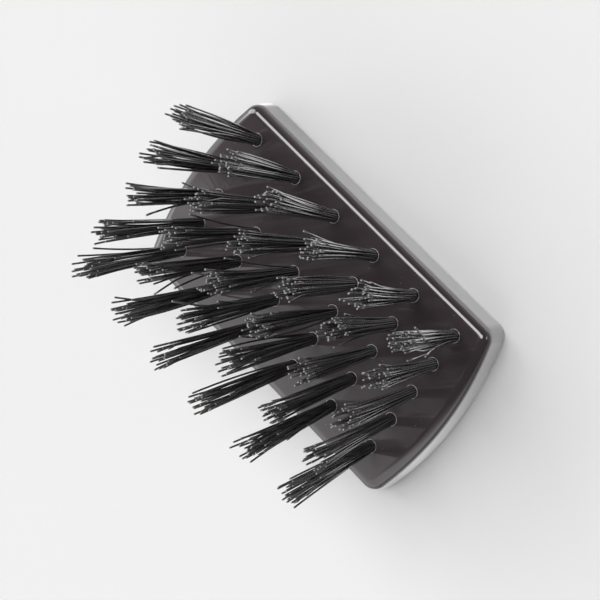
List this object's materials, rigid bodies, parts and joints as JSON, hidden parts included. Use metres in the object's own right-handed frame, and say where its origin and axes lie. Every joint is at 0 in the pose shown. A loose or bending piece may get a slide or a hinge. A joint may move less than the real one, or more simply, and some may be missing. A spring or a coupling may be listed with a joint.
{
  "type": "beard brush",
  "caption": "Palm-held beard brush: a flat glossy black block with bowed ends and a fanned grid of stiff black nylon bristle tufts.",
  "frame": {"origin": "the middle of the block's flat back face", "axes": "+X along the block's length, +Y across its width towards the edge that tuft row 1 is nearest to, +Z out of the bristle face"},
  "size_m": [0.0716, 0.0421, 0.0343],
  "materials": {
    "block_plastic": "high-gloss black moulded plastic with fine rub marks and dust",
    "bristle_nylon": "satin black nylon monofilament with paler cut ends",
    "anchor_wire": "flattened bright steel wire"
  },
  "bodies": {
    "root": {"block": "block_plastic", "tuft_row1_col1": "bristle_nylon", "tuft_row1_col2": "bristle_nylon", "tuft_row1_col3": "bristle_nylon", "tuft_row1_col4": "bristle_nylon", "tuft_row1_col5": "bristle_nylon", "tuft_row1_col6": "bristle_nylon", "tuft_row2_col1": "bristle_nylon", "tuft_row2_col2": "bristle_nylon", "tuft_row2_col3": "bristle_nylon", "tuft_row2_col4": "bristle_nylon", "tuft_row2_col5": "bristle_nylon", "tuft_row2_col6": "bristle_nylon", "tuft_row3_col1": "bristle_nylon", "tuft_row3_col2": "bristle_nylon", "tuft_row3_col3": "bristle_nylon", "tuft_row3_col4": "bristle_nylon", "tuft_row3_col5": "bristle_nylon", "tuft_row3_col6": "bristle_nylon", "tuft_row4_col1": "bristle_nylon", "tuft_row4_col2": "bristle_nylon", "tuft_row4_col3": "bristle_nylon", "tuft_row4_col4": "bristle_nylon", "tuft_row4_col5": "bristle_nylon", "tuft_row4_col6": "bristle_nylon", "tuft_row5_col1": "bristle_nylon", "tuft_row5_col2": "bristle_nylon", "tuft_row5_col3": "bristle_nylon", "tuft_row5_col4": "bristle_nylon", "tuft_row5_col5": "bristle_nylon", "tuft_row5_col6": "bristle_nylon"}
  },
  "joints": []
}
